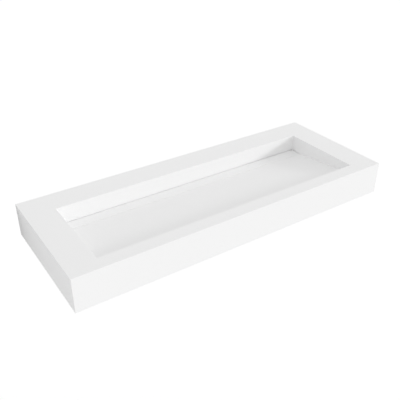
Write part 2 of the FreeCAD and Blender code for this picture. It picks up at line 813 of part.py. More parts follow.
bolt_places = [(f"{sign}{bracket_place}", along) for sign in ("-", "") for along in bolt_rows]

nodes = [
    top_deck(),
    front_apron(),
    side_apron("left_apron", "-"),
    side_apron("right_apron", ""),
    rear_rail(),
    bowl_front_wall(),
    bowl_rear_wall(),
    bowl_side_wall("bowl_left_wall", "-"),
    bowl_side_wall("bowl_right_wall", ""),
    bowl_floor(),
    trough_front_wall(),
    trough_floor(),
    cover_ledge(),
    cover_lugs(),
    drain_cover(),
    cover_bumpers(),
    floor_rib("floor_rib_left", f"-{rib_place}"),
    floor_rib("floor_rib_centre", "0"),
    floor_rib("floor_rib_right", rib_place),
    glue_blocks(),
    support_block("support_block_left", f"-{bracket_place}"),
    support_block("support_block_right", bracket_place),
    threaded_inserts(bolt_places),
    wall_bracket("wall_bracket_left", f"-{bracket_place}"),
    wall_bracket("wall_bracket_right", bracket_place),
    arm_cap("arm_cap_left", f"-{bracket_place}"),
    arm_cap("arm_cap_right", bracket_place),
    bracket_pad("bracket_pad_left", f"-{bracket_place}"),
    bracket_pad("bracket_pad_right", bracket_place),
    bracket_bolts(bolt_places),
    bracket_washers(bolt_places),
    waste_strainer(),
    strainer_gasket(),
    waste_screw(),
    waste_tail(),
    tail_gasket(),
]
doc.recompute()

# Nothing is written unless every object is sound
for item in doc.Objects:
    if "Invalid" in item.State or "Error" in item.State:
        raise RuntimeError(f"{item.Label} failed: {item.State}")
for node in nodes:
    if node.Shape.isNull() or not node.Shape.isValid() or not node.Shape.Solids:
        raise RuntimeError(f"{node.Label} has no sound solid")

os.makedirs("parts", exist_ok=True)
for node in nodes:
    node.Shape.exportStep(f"parts/{node.Label}.step")
    print(f"{node.Label}: {len(node.Shape.Solids)} solids, {node.Shape.Volume:.1f} cubic mm")
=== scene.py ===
import bmesh
import bpy
import math
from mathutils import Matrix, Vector


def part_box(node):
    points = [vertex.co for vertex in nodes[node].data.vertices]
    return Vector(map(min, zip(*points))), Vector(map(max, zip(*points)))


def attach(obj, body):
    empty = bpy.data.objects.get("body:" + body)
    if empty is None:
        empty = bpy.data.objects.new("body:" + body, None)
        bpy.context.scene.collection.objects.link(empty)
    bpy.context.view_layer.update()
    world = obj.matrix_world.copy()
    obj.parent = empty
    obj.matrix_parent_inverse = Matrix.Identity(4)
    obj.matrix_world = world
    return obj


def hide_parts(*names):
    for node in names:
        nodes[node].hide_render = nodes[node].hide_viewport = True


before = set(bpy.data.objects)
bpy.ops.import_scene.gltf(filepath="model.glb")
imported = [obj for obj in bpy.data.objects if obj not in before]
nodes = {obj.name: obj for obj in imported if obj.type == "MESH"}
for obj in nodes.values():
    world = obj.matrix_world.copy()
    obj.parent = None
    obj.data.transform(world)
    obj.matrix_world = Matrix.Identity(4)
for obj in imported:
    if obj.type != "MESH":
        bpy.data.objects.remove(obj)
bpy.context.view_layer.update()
scene = bpy.context.scene
scene.view_settings.view_transform = "Standard"
mm = 0.001
samePlace = 0.002 * mm  # points nearer than this are one
print("frame loaded:", len(nodes), "nodes")


# A socket that takes part in Python maths, and adds the nodes for it
class Wire:
    def __init__(self, tree, socket=None):
        self.tree, self.socket = tree, socket

    def add(self, kind, settings=None, inputs=None, output=0):
        node = self.tree.nodes.new(kind)
        for name, value in (settings or {}).items():
            if name == "stops":
                ramp = node.color_ramp.elements
                while len(ramp) < len(value):
                    ramp.new(0.5)
                for stop, (position, colour) in zip(ramp, value):
                    stop.position, stop.color = position, colour
            else:
                setattr(node, name, value)
        for name, value in (inputs or {}).items():
            if isinstance(value, Wire):
                self.tree.links.new(value.socket, node.inputs[name])
            else:
                node.inputs[name].default_value = value
        return Wire(self.tree, node.outputs[output] if node.outputs else None)

    def out(self, name):
        return Wire(self.tree, self.socket.node.outputs[name])

    def maths(self, operation, *values):
        return self.add("ShaderNodeMath", {"operation": operation}, dict(enumerate(values)))

    def __add__(self, other):
        return self.maths("ADD", self, other)

    __radd__ = __add__

    def __mul__(self, other):
        return self.maths("MULTIPLY", self, other)

    __rmul__ = __mul__

    def __sub__(self, other):
        return self.maths("SUBTRACT", self, other)

    def __rsub__(self, other):
        return self.maths("SUBTRACT", other, self)

    def __truediv__(self, other):
        return self.maths("DIVIDE", self, other)

    def __gt__(self, other):
        return self.maths("GREATER_THAN", self, other)

    def __abs__(self):
        return self.maths("ABSOLUTE", self)


def startMaterial(name):
    material = bpy.data.materials.new(name)
    material.use_nodes = True
    material.node_tree.nodes.clear()
    return material, Wire(material.node_tree)


def noise(pen, place, size, detail=2, distortion=0):
    settings = {"Vector": place, "Scale": 1 / size, "Detail": detail, "Distortion": distortion}
    return pen.add("ShaderNodeTexNoise", inputs=settings)


def swing(value, reach):
    # noise lies about a half, so this goes as far down as up
    return (value - 0.5) * reach


def stretch(pen, value, low, high):
    # 0 at low, 1 at high
    return pen.add("ShaderNodeMapRange", inputs={0: value, 1: low, 2: high})


def mixColour(pen, share, first, second):
    return pen.add("ShaderNodeMix", {"data_type": "RGBA"}, {0: share, 6: first, 7: second}, output=2)


def bump(pen, height, depth):
    return pen.add("ShaderNodeBump", inputs={"Height": height, "Distance": depth})


def closeMaterial(pen, **inputs):
    sockets = {name.replace("_", " "): value for name, value in inputs.items()}
    shader = pen.add("ShaderNodeBsdfPrincipled", inputs=sockets)
    pen.add("ShaderNodeOutputMaterial", inputs={"Surface": shader})


# White mineral-filled sheet, sanded to a satin finish: fine pale fleck, clouding and sanding swirls
sheetLook = {
    "colour": (0.956, 0.956, 0.956, 1),
    "fleck": (0.918, 0.918, 0.918, 1),
    "fleckSize": 1.1 * mm,
    "fleckRange": (0.42, 0.72),
    "cloudSize": 160 * mm,
    "cloudFleck": 0.3,
    "roughness": 0.42,
    "cloudRoughness": 0.12,
    "sandingRoughness": 0.12,
    "sandingSize": 0.6 * mm,
    "sandingSwirl": 1.2,
    "sandingDepth": 0.03 * mm,
}


def sheetFinish():
    material, pen = startMaterial("solidSheet")
    look = sheetLook
    place = pen.add("ShaderNodeTexCoord", output="Object")
    cloud = noise(pen, place, look["cloudSize"], detail=3)
    fleck = stretch(pen, noise(pen, place, look["fleckSize"]), *look["fleckRange"])
    sanding = noise(pen, place, look["sandingSize"], detail=3, distortion=look["sandingSwirl"])
    dulled = swing(cloud, look["cloudRoughness"]) + swing(sanding, look["sandingRoughness"])
    closeMaterial(
        pen,
        Base_Color=mixColour(pen, fleck + swing(cloud, look["cloudFleck"]), look["colour"], look["fleck"]),
        Roughness=look["roughness"] + dulled,
        Normal=bump(pen, sanding, look["sandingDepth"]),
    )
    return material


# Glue that was pressed out of the joints and left underneath
glueLook = {
    "colour": (0.83, 0.825, 0.80, 1),
    "dust": (0.74, 0.73, 0.70, 1),
    "dustSize": 30 * mm,
    "roughness": 0.3,
    "dustRoughness": 0.25,
    "lumpSize": 6 * mm,
    "lumpDepth": 0.6 * mm,
}


def glueFinish():
    material, pen = startMaterial("jointGlue")
    look = glueLook
    place = pen.add("ShaderNodeTexCoord", output="Object")
    lumps = noise(pen, place, look["lumpSize"], detail=3)
    dust = noise(pen, place, look["dustSize"], detail=4)
    closeMaterial(
        pen,
        Base_Color=mixColour(pen, dust, look["colour"], look["dust"]),
        Roughness=look["roughness"] + dust * look["dustRoughness"],
        Normal=bump(pen, lumps, look["lumpDepth"]),
    )
    return material


# Birch plywood: veneers stacked along one axis, the outer ones with their grain along y
plyLook = {
    "pale": (0.66, 0.50, 0.32, 1),
    "dark": (0.53, 0.37, 0.21, 1),
    "endGrain": (0.40, 0.26, 0.14, 1),
    "glueLine": (0.24, 0.15, 0.09, 1),
    "veneer": 1.4 * mm,
    "glueShare": 0.1,
    "grainSize": 6 * mm,
    "grainWave": 0.6,
    "fibreSize": 1.2 * mm,
    "poreSize": 0.9 * mm,
    "longGrain": 20,
    "fibreShare": 0.25,
    "figureRange": (0.32, 0.62),
    "endGrainShare": (0.6, 1.1),
    "roughness": 0.62,
    "fibreRoughness": 0.2,
    "fibreDepth": 0.12 * mm,
    "poreDepthShare": 0.5,
    "faceTilt": 0.7,
}


def plywoodFinish(name, stack):
    material, pen = startMaterial(name)
    look = plyLook
    place = pen.add("ShaderNodeTexCoord", output="Object")
    along = pen.add("ShaderNodeMapping", inputs={"Vector": place, "Scale": (1, 1 / look["longGrain"], 1)})
    grain = noise(pen, along, look["grainSize"], detail=5, distortion=look["grainWave"])
    fibre = noise(pen, along, look["fibreSize"])
    pores = noise(pen, place, look["poreSize"])
    darkest, palest = look["figureRange"]
    figure = pen.add(
        "ShaderNodeValToRGB",
        {"stops": [(darkest, look["dark"]), (palest, look["pale"])]},
        {"Fac": grain * (1 - look["fibreShare"]) + fibre * look["fibreShare"]},
    )
    # veneers seen on the cut edges, every other one across the grain
    level = pen.add("ShaderNodeSeparateXYZ", inputs={0: place}, output=stack) / look["veneer"]
    crossPly = pen.maths("MODULO", abs(pen.maths("FLOOR", level)), 2)
    glueLine = abs(pen.maths("FRACT", level) - 0.5) > (1 - look["glueShare"]) / 2
    least, most = look["endGrainShare"]
    edge = mixColour(pen, crossPly * (pores * (most - least) + least), figure, look["endGrain"])
    edge = mixColour(pen, glueLine, edge, look["glueLine"])
    facing = pen.add("ShaderNodeTexCoord", output="Normal")
    flat = abs(pen.add("ShaderNodeSeparateXYZ", inputs={0: facing}, output=stack)) > look["faceTilt"]
    closeMaterial(
        pen,
        Base_Color=mixColour(pen, flat, edge, figure),
        Roughness=look["roughness"] + swing(fibre, look["fibreRoughness"]),
        Normal=bump(pen, fibre + pores * look["poreDepthShare"], look["fibreDepth"]),
    )
    return material


# Powder coat on the wall brackets, rubbed to bare steel along some of the arrises
coatLook = {
    "colour": (0.42, 0.43, 0.44, 1),
    "shade": (0.37, 0.38, 0.39, 1),
    "bare": (0.68, 0.67, 0.65, 1),
    "cloudSize": 50 * mm,
    "speckSize": 0.7 * mm,
    "speckShare": 0.4,
    "roughness": 0.44,
    "cloudRoughness": 0.12,
    "speckRoughness": 0.1,
    "peelSize": 2.5 * mm,
    "peelDepth": 0.35 * mm,
    "rubWidth": 1.6 * mm,
    "rubTilt": (0.995, 0.85),
    "rubSamples": 6,
    "rubPolish": 0.1,
    "rubDepthShare": 0.3,
    "scuffSize": 9 * mm,
    "scuffFrom": 0.5,
}


def arrisMask(pen, width, tilt, samples):
    # 1 on an arris, where the rounded normal leaves the true one, and 0 on flat ground
    rounded = pen.add("ShaderNodeBevel", {"samples": samples}, {"Radius": width})
    true = pen.add("ShaderNodeNewGeometry", output="Normal")
    match = pen.add(
        "ShaderNodeVectorMath", {"operation": "DOT_PRODUCT"}, {0: rounded, 1: true}, output="Value"
    )
    return stretch(pen, match, *tilt)


def coatFinish():
    material, pen = startMaterial("bracketCoat")
    look = coatLook
    place = pen.add("ShaderNodeTexCoord", output="Object")
    cloud = noise(pen, place, look["cloudSize"], detail=3)
    peel = noise(pen, place, look["peelSize"])
    speck = noise(pen, place, look["speckSize"])
    scuff = noise(pen, place, look["scuffSize"], detail=6)
    arris = arrisMask(pen, look["rubWidth"], look["rubTilt"], look["rubSamples"])
    rub = arris * (scuff > look["scuffFrom"])
    shade = cloud * (1 - look["speckShare"]) + speck * look["speckShare"]
    dulled = swing(cloud, look["cloudRoughness"]) + swing(speck, look["speckRoughness"])
    closeMaterial(
        pen,
        Base_Color=mixColour(pen, rub, mixColour(pen, shade, look["colour"], look["shade"]), look["bare"]),
        Metallic=rub,
        Roughness=look["roughness"] + dulled - rub * look["rubPolish"],
        Normal=bump(pen, peel - rub * look["rubDepthShare"], look["peelDepth"]),
    )
    return material


# Metals: zinc on the bolts, turned brass, and the strainer brushed round its centre
metalLook = {
    "zinc": {"colour": (0.66, 0.68, 0.70, 1), "stain": (0.56, 0.57, 0.56, 1), "roughness": 0.36},
    "brass": {"colour": (0.72, 0.53, 0.24, 1), "stain": (0.50, 0.34, 0.15, 1), "roughness": 0.30},
    "steel": {"colour": (0.62, 0.61, 0.59, 1), "stain": (0.54, 0.53, 0.51, 1), "roughness": 0.30},
    "stainSize": 20 * mm,
    "stainRange": (0.45, 0.75),
    "stainShare": 0.8,
    "stainRoughness": 0.14,
    "markShare": 0.3,
    "markRoughness": 0.16,
    "markDepth": 0.03 * mm,
    # marks in a metre, or in a radian round the strainer
    "tumbleMarks": (900, 900, 900),
    "latheMarks": (40, 40, 3200),
    "brushMarks": {"round": 3, "across": 4000, "deep": 800},
}


def metalFinish(name, metal, marked):
    material, pen = startMaterial(name)
    look = metalLook
    place = pen.add("ShaderNodeTexCoord", output="Object")
    stain = stretch(pen, noise(pen, place, look["stainSize"], detail=5), *look["stainRange"])
    marks = noise(pen, marked(pen, place), 1, detail=3)
    darkened = stain * look["stainShare"] + swing(marks, look["markShare"])
    dulled = stain * look["stainRoughness"] + swing(marks, look["markRoughness"])
    closeMaterial(
        pen,
        Base_Color=mixColour(pen, darkened, look[metal]["colour"], look[metal]["stain"]),
        Metallic=1.0,
        Roughness=look[metal]["roughness"] + dulled,
        Normal=bump(pen, marks, look["markDepth"]),
    )
    return material


def tumbled(pen, place):
    return pen.add("ShaderNodeMapping", inputs={"Vector": place, "Scale": metalLook["tumbleMarks"]})


def turned(pen, place):
    # rings of a lathe, stacked along z
    return pen.add("ShaderNodeMapping", inputs={"Vector": place, "Scale": metalLook["latheMarks"]})


def brushedRound(pen, place):
    # strokes that run round the middle of the strainer
    marks = metalLook["brushMarks"]
    low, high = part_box("waste_strainer")
    centred = pen.add("ShaderNodeMapping", inputs={"Vector": place, "Location": -(low + high) / 2})
    axes = pen.add("ShaderNodeSeparateXYZ", inputs={0: centred})
    radius = pen.add("ShaderNodeVectorMath", {"operation": "LENGTH"}, {0: centred}, output="Value")
    angle = pen.maths("ARCTAN2", axes.out("Y"), axes.out("X"))
    polar = {"X": angle * marks["round"], "Y": radius * marks["across"], "Z": axes.out("Z") * marks["deep"]}
    return pen.add("ShaderNodeCombineXYZ", inputs=polar)


# Rubber seals, silicone bumpers and plastic caps
softLook = {
    "rubber": {
        "colour": (0.036, 0.036, 0.037, 1),
        "dust": (0.085, 0.083, 0.080, 1),
        "roughness": 0.72,
        "grain": 0.8 * mm,
    },
    "silicone": {
        "colour": (0.75, 0.75, 0.74, 1),
        "dust": (0.66, 0.66, 0.65, 1),
        "roughness": 0.38,
        "grain": 2 * mm,
    },
    "plastic": {
        "colour": (0.045, 0.045, 0.048, 1),
        "dust": (0.075, 0.075, 0.076, 1),
        "roughness": 0.5,
        "grain": 0.6 * mm,
    },
    "dustSize": 15 * mm,
    "dustRange": (0.42, 0.8),
    "dustShare": 0.8,
    "dustRoughness": 0.15,
    "grainShare": 0.2,
    "grainRoughness": 0.1,
    "grainDepth": 0.08 * mm,
}


def softFinish(name, kind):
    material, pen = startMaterial(name)
    look, own = softLook, softLook[kind]
    place = pen.add("ShaderNodeTexCoord", output="Object")
    dust = stretch(pen, noise(pen, place, look["dustSize"], detail=5), *look["dustRange"])
    grain = noise(pen, place, own["grain"])
    dusted = dust * look["dustShare"] + swing(grain, look["grainShare"])
    dulled = dust * look["dustRoughness"] + swing(grain, look["grainRoughness"])
    closeMaterial(
        pen,
        Base_Color=mixColour(pen, dusted, own["colour"], own["dust"]),
        Roughness=own["roughness"] + dulled,
        Normal=bump(pen, grain, look["grainDepth"]),
    )
    return material


sheet = sheetFinish()
glue = glueFinish()
ribPly = plywoodFinish("ribPlywood", "X")
blockPly = plywoodFinish("blockPlywood", "Z")
coat = coatFinish()
zinc = metalFinish("zincPlate", "zinc", tumbled)
brass = metalFinish("turnedBrass", "brass", turned)
steel = metalFinish("brushedSteel", "steel", brushedRound)
rubber = softFinish("sealRubber", "rubber")
silicone = softFinish("bumperSilicone", "silicone")
plastic = softFinish("capPlastic", "plastic")

# every other node is white sheet
nodeFinish = {
    ribPly: ["floor_rib_left", "floor_rib_centre", "floor_rib_right"],
    blockPly: ["support_block_left", "support_block_right"],
    coat: ["wall_bracket_left", "wall_bracket_right"],
    plastic: ["arm_cap_left", "arm_cap_right"],
    rubber: ["bracket_pad_left", "bracket_pad_right", "strainer_gasket", "tail_gasket"],
    silicone: ["cover_bumpers"],
    zinc: ["bracket_bolts", "bracket_washers"],
    steel: ["waste_strainer", "waste_screw"],
    brass: ["threaded_inserts", "waste_tail"],
}
finishOf = {name: material for material, names in nodeFinish.items() for name in names}
for name, node in nodes.items():
    node.data.materials.clear()
    node.data.materials.append(finishOf.get(name, sheet))
print("materials set on", len(nodes), "nodes")


def clearSelection():
    if bpy.context.object and bpy.context.object.mode != "OBJECT":
        bpy.ops.object.mode_set(mode="OBJECT")
    bpy.ops.object.select_all(action="DESELECT")


def activate(*pieces):
    clearSelection()
    for piece in pieces:
        piece.select_set(True)
    bpy.context.view_layer.objects.active = pieces[0]


def selectVerts(test):
    # in edit mode, by place
    mesh = bmesh.from_edit_mesh(bpy.context.object.data)
    bpy.ops.mesh.select_mode(type="VERT")
    for vert in mesh.verts:
        vert.select_set(test(vert.co))
    mesh.select_flush_mode()
    bmesh.update_edit_mesh(bpy.context.object.data)


def joinPieces(pieces):
    activate(*pieces)
    bpy.ops.object.join()
    return bpy.context.object


def settle(piece, name, body, material, smoothAngle):
    activate(piece)
    bpy.ops.object.transform_apply(location=True, rotation=True, scale=True)
    bpy.ops.object.mode_set(mode="EDIT")
    bpy.ops.mesh.select_all(action="SELECT")
    bpy.ops.mesh.remove_doubles(threshold=samePlace)
    bpy.ops.mesh.normals_make_consistent(inside=False)
    bpy.ops.object.mode_set(mode="OBJECT")
    bpy.ops.object.shade_smooth_by_angle(angle=math.radians(smoothAngle))
    piece.name = piece.data.name = name
    piece.data.materials.clear()
    piece.data.materials.append(material)
    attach(piece, body)
    print(name, "made,", len(piece.data.polygons), "faces")


def applyModifier(piece, kind, **settings):
    activate(piece)
    modifier = piece.modifiers.new(kind.lower(), kind)
    for name, value in settings.items():
        setattr(modifier, name, value)
    bpy.ops.object.modifier_apply(modifier=modifier.name)


def drawLine(points):
    # one vertex, pushed from point to point, and left in edit mode
    clearSelection()
    bpy.ops.mesh.primitive_plane_add(size=1, location=points[0])
    bpy.ops.object.mode_set(mode="EDIT")
    bpy.ops.mesh.select_all(action="SELECT")
    bpy.ops.mesh.merge(type="CENTER")
    for start, end in zip(points, points[1:]):
        bpy.ops.mesh.extrude_region_move(TRANSFORM_OT_translate={"value": Vector(end) - Vector(start)})
    return bpy.context.object


def drawOutline(points):
    # a closed line, all of it selected
    piece = drawLine(points + points[:1])
    bpy.ops.mesh.select_all(action="SELECT")
    bpy.ops.mesh.remove_doubles(threshold=samePlace)
    return piece


def spinSection(axis, section, steps):
    # closed section of (radius, height) points, spun round an upright axis
    piece = drawOutline([(axis.x + radius, axis.y, height) for radius, height in section])
    bpy.ops.mesh.spin(steps=steps, angle=2 * math.pi, center=(axis.x, axis.y, 0), axis=(0, 0, 1))
    bpy.ops.object.mode_set(mode="OBJECT")
    return piece


# A thread's tooth, its foot and crest as shares of the pitch, and the taper of its first and last turn
tooth = {"foot": 0.86, "crest": 0.22, "taperBands": 8, "taperLeast": 0.05}


def threadRidge(crest, root, pitch, low, high, axis, steps):
    # one tooth, wound up round the axis
    clearSelection()
    turns = (high - low) / pitch - 1
    middle = (crest + root) / 2
    bpy.ops.mesh.primitive_plane_add(size=1, location=(axis.x, axis.y, low + pitch / 2))
    ridge = bpy.context.object
    bpy.ops.object.mode_set(mode="EDIT")
    bpy.ops.mesh.delete(type="ONLY_FACE")
    bpy.ops.mesh.select_all(action="SELECT")
    bpy.ops.transform.rotate(value=math.pi / 2, orient_axis="X", center_override=ridge.location)
    bpy.ops.transform.resize(value=(crest - root, 1, pitch * tooth["foot"]), center_override=ridge.location)
    bpy.ops.transform.translate(value=(middle, 0, 0))
    selectVerts(lambda co: co.x > middle)
    bpy.ops.transform.resize(value=(1, 1, tooth["crest"]), center_override=ridge.location)
    bpy.ops.object.mode_set(mode="OBJECT")
    applyModifier(
        ridge, "SCREW", axis="Z", screw_offset=pitch * turns, angle=2 * math.pi * turns,
        steps=int(steps * turns), render_steps=int(steps * turns), iterations=1, use_merge_vertices=False,
    )
    bpy.ops.object.mode_set(mode="EDIT")
    bpy.ops.mesh.select_all(action="SELECT")
    bpy.ops.mesh.fill_holes(sides=4)  # its two ends
    # the crest comes down to nothing over the first turn and the last, a band at a time
    bands = tooth["taperBands"]
    for band in range(bands):
        near = pitch * band / bands if band else -pitch
        far = pitch * (band + 1) / bands
        lowered = (root + (crest - root) * (tooth["taperLeast"] + band / bands)) / crest
        for inBand in (lambda z: near <= z < far, lambda z: near <= pitch * turns - z < far):
            selectVerts(lambda co: co.xy.length > middle and inBand(co.z))
            bpy.ops.transform.resize(value=(lowered, lowered, 1), center_override=ridge.location)
    bpy.ops.object.mode_set(mode="OBJECT")
    return ridge


# Waste tail: a turned body with its pipe thread, and the bridge that takes the screw
tailForm = {
    "bore": 17.5 * mm,
    "crest": 20.95 * mm,
    "threadDepth": 1.48 * mm,
    "pitch": 2.309 * mm,
    "threadLength": 26 * mm,
    "threadEndGap": 0.2 * mm,
    "relief": 20.15 * mm,
    "neck": 22.5 * mm,
    "seat": -51 * mm,
    "flange": 3 * mm,
    "cove": 1.5 * mm,
    "ease": 0.5 * mm,
    "bridgeTop": -46.5 * mm,
    "bridgeHeight": 8 * mm,
    "bridgeWidth": 7 * mm,
    "bridgeRound": 1 * mm,
    "bridgeRoundSteps": 3,
    "boss": 6.5 * mm,
    "tapping": 3.05 * mm,
    "steps": 96,
    "bossSteps": 48,
    # how far a thread goes into its root, and a bar into the bore
    "rootSink": 0.1 * mm,
    "barSink": 0.2 * mm,
}


def modelTail():
    low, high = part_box("waste_tail")
    axis = (low + high) / 2
    form = tailForm
    rim, ease, seat, cove = (high.x - low.x) / 2, form["ease"], form["seat"], form["cove"]
    bore, relief, neck = form["bore"], form["relief"], form["neck"]
    root = form["crest"] - form["threadDepth"]
    under = seat - form["flange"]
    threadTop = low.z + form["threadLength"]
    body = [
        (bore, high.z), (bore, low.z + ease), (bore + ease, low.z),
        (root - ease, low.z), (root, low.z + ease), (root, threadTop - ease),
        (relief, threadTop), (relief, under - cove), (relief + ease, under - ease), (relief + cove, under),
        (rim - ease, under), (rim, under + ease), (rim, seat - ease), (rim - ease, seat),
        (neck, seat), (neck, high.z - ease), (neck - ease, high.z),
    ]
    pieces = [spinSection(axis, body, form["steps"])]
    bottom, top = low.z + form["threadEndGap"], threadTop - form["threadEndGap"]
    foot = root - form["rootSink"]
    pieces.append(threadRidge(form["crest"], foot, form["pitch"], bottom, top, axis, form["steps"]))
    # boss on the bridge, tapped for the screw
    above, below = form["bridgeTop"], form["bridgeTop"] - form["bridgeHeight"]
    tapping, boss = form["tapping"], form["boss"]
    bossSection = [
        (tapping, below), (boss - ease, below), (boss, below + ease), (boss, above - ease),
        (boss - ease, above), (tapping + ease, above), (tapping, above - ease),
    ]
    pieces.append(spinSection(axis, bossSection, form["bossSteps"]))
    inner, outer = boss - ease, bore + form["barSink"]
    for side in (-1, 1):
        clearSelection()
        place = (axis.x + side * (inner + outer) / 2, axis.y, (above + below) / 2)
        bpy.ops.mesh.primitive_cube_add(size=1, location=place)
        bar = bpy.context.object
        bpy.ops.object.mode_set(mode="EDIT")
        bpy.ops.mesh.select_all(action="SELECT")
        size = (outer - inner, form["bridgeWidth"], form["bridgeHeight"])
        bpy.ops.transform.resize(value=size, center_override=place)
        bpy.ops.mesh.bevel(offset=form["bridgeRound"], segments=form["bridgeRoundSteps"])
        bpy.ops.object.mode_set(mode="OBJECT")
        pieces.append(bar)
    tail = joinPieces(pieces)
    settle(tail, "threaded_tail", "basin", brass, smoothAngle=30)
    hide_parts("waste_tail")


# Hex bolts: one is modelled and set in the four places
boltForm = {
    "flats": 13 * mm,
    "head": 5.3 * mm,
    "faceShare": 0.94,
    "coneSides": 72,
    "radius": 4 * mm,
    "shankSides": 28,
    "plain": 12 * mm,
    "runOut": 0.6 * mm,
    "pitch": 1.25 * mm,
    "depth": 0.7 * mm,
    "rootSink": 0.05 * mm,
    "steps": 20,
}


def modelBolts():
    form = boltForm
    low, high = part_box("bracket_bolts")
    corner = form["flats"] / math.sqrt(3)
    half = form["flats"] / 2
    headTop = low.z + form["head"]
    headPlace = (0, 0, low.z + form["head"] / 2)
    clearSelection()
    bpy.ops.mesh.primitive_cylinder_add(
        vertices=6, radius=corner, depth=form["head"], location=headPlace, rotation=(0, 0, math.pi / 6)
    )
    head = bpy.context.object
    # corners taken off by a cone, as on a forged head
    clearSelection()
    face = half * form["faceShare"]
    bpy.ops.mesh.primitive_cone_add(
        vertices=form["coneSides"], radius1=face, radius2=face + form["head"] * math.sqrt(3),
        depth=form["head"], location=headPlace,
    )
    cone = bpy.context.object
    applyModifier(head, "BOOLEAN", operation="INTERSECT", solver="EXACT", object=cone)
    bpy.data.objects.remove(cone)
    # the shank is turned down to the root of the thread above its plain length
    clearSelection()
    shankPlace = (0, 0, (high.z + headTop) / 2)
    bpy.ops.mesh.primitive_cylinder_add(
        vertices=form["shankSides"], radius=form["radius"], depth=high.z - headTop, location=shankPlace
    )
    shank = bpy.context.object
    threadLow = headTop + form["plain"]
    bpy.ops.object.mode_set(mode="EDIT")
    for cut in (threadLow, threadLow + form["runOut"]):
        bpy.ops.mesh.select_all(action="SELECT")
        bpy.ops.mesh.bisect(plane_co=(0, 0, cut), plane_no=(0, 0, 1))
    selectVerts(lambda co: co.z + shankPlace[2] > threadLow + form["runOut"] / 2)
    root = form["radius"] - form["depth"]
    turnedDown = root / form["radius"]
    bpy.ops.transform.resize(value=(turnedDown, turnedDown, 1), center_override=shankPlace)
    bpy.ops.object.mode_set(mode="OBJECT")
    foot = root - form["rootSink"]
    ridge = threadRidge(form["radius"], foot, form["pitch"], threadLow, high.z, Vector(), form["steps"])
    bolt = joinPieces([head, shank, ridge])
    bpy.ops.object.transform_apply(location=True, rotation=True, scale=True)
    bolts = []
    for x in (low.x + corner, high.x - corner):
        for y in (low.y + half, high.y - half):
            copy = bpy.data.objects.new("bolt", bolt.data.copy())
            scene.collection.objects.link(copy)
            copy.location = (x, y, 0)
            bolts.append(copy)
    bpy.data.objects.remove(bolt)
    bolts = joinPieces(bolts)
    settle(bolts, "hex_bolts", "basin", zinc, smoothAngle=28)
    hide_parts("bracket_bolts")


# Weld round the foot of each arm: a rounded outline, turned to a curve whose thickness rises and falls
weld = {
    "leg": 3.2 * mm,
    "width": 30 * mm,
    "height": 40 * mm,
    "corner": 4 * mm,
    "plate": 6 * mm,
    "cornerSteps": 8,
    "roundness": 4,
    "ripple": (1.0, 0.95, 0.85),
    # slow waves of the thickness: how far, and how fast from step to step
    "waves": ((0.06, 0.23), (0.04, 0.71)),
}


def weldThickness(step):
    wave = sum(reach * math.sin(step * pace) for reach, pace in weld["waves"])
    return weld["ripple"][step % len(weld["ripple"])] * (1 + wave)


def modelWelds():
    stepLength = weld["corner"] * math.pi / 2 / weld["cornerSteps"]
    runs = []
    for side in ("left", "right"):
        low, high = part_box("wall_bracket_" + side)
        middle = Vector(((low.x + high.x) / 2, -weld["plate"], (low.z + high.z) / 2))
        clearSelection()
        bpy.ops.mesh.primitive_plane_add(size=1, location=middle, rotation=(math.pi / 2, 0, 0))
        run = bpy.context.object
        bpy.ops.object.transform_apply(location=False, rotation=True, scale=False)
        bpy.ops.object.mode_set(mode="EDIT")
        bpy.ops.mesh.select_all(action="SELECT")
        bpy.ops.transform.resize(value=(weld["width"], 1, weld["height"]), center_override=middle)
        bpy.ops.mesh.bevel(offset=weld["corner"], segments=weld["cornerSteps"], affect="VERTICES")
        bpy.ops.mesh.delete(type="ONLY_FACE")
        # the straight sides get steps as long as those of the corners
        for reach, straight, along in (("width", "height", "x"), ("height", "width", "z")):
            selectVerts(lambda co: abs(getattr(co, along)) > weld[reach] / 2 - samePlace)
            cuts = round((weld[straight] - 2 * weld["corner"]) / stepLength) - 1
            bpy.ops.mesh.subdivide(number_cuts=cuts)
        bpy.ops.object.mode_set(mode="OBJECT")
        bpy.ops.object.convert(target="CURVE")
        run.data.bevel_depth = weld["leg"]
        run.data.bevel_resolution = weld["roundness"]
        for step, point in enumerate(run.data.splines[0].points):
            point.radius = weldThickness(step)
        bpy.ops.object.convert(target="MESH")
        runs.append(bpy.context.object)
    welds = joinPieces(runs)
    settle(welds, "arm_welds", "basin", coat, smoothAngle=50)


# Glue fillets in the inner corners, drawn as a section and pushed along the joint in uneven steps
fillet = {
    "leg": 4.5 * mm,
    "section": ((0, 0), (1, 0), (0.52, 0.2), (0.2, 0.52), (0, 1)),
    "sink": 0.3 * mm,
    "step": 16 * mm,
    "leastSteps": 3,
    # waves of the width: how far, how fast from step to step, and how they shift from run to run
    "waves": ((0.22, 1.7, 1), (0.14, 0.61, 3)),
    "endTaper": 0.3,
    "endGap": 3 * mm,
    "blockCount": 6,
    "blockLength": 40 * mm,
    "blockGap": 4.5 * mm,
}


def filletWidth(step, count, seed):
    wave = sum(reach * math.sin(step * pace + seed * shift) for reach, pace, shift in fillet["waves"])
    return 1 + wave - fillet["endTaper"] * (step in (0, count))


def glueRun(start, end, sideA, sideB, seed):
    start, end, sideA, sideB = Vector(start), Vector(end), Vector(sideA), Vector(sideB)
    along = end - start
    count = max(fillet["leastSteps"], round(along.length / fillet["step"]))
    corner = start - (sideA + sideB) * fillet["sink"]
    run = drawOutline([corner + (sideA * a + sideB * b) * fillet["leg"] for a, b in fillet["section"]])
    bpy.ops.mesh.edge_face_add()
    last = 1.0
    for step in range(count + 1):
        if step:
            bpy.ops.mesh.extrude_region_move(TRANSFORM_OT_translate={"value": along / count})
        width = filletWidth(step, count, seed)
        place = start + along * (step / count)
        bpy.ops.transform.resize(value=(width / last,) * 3, center_override=place)
        last = width
    bpy.ops.object.mode_set(mode="OBJECT")
    return run


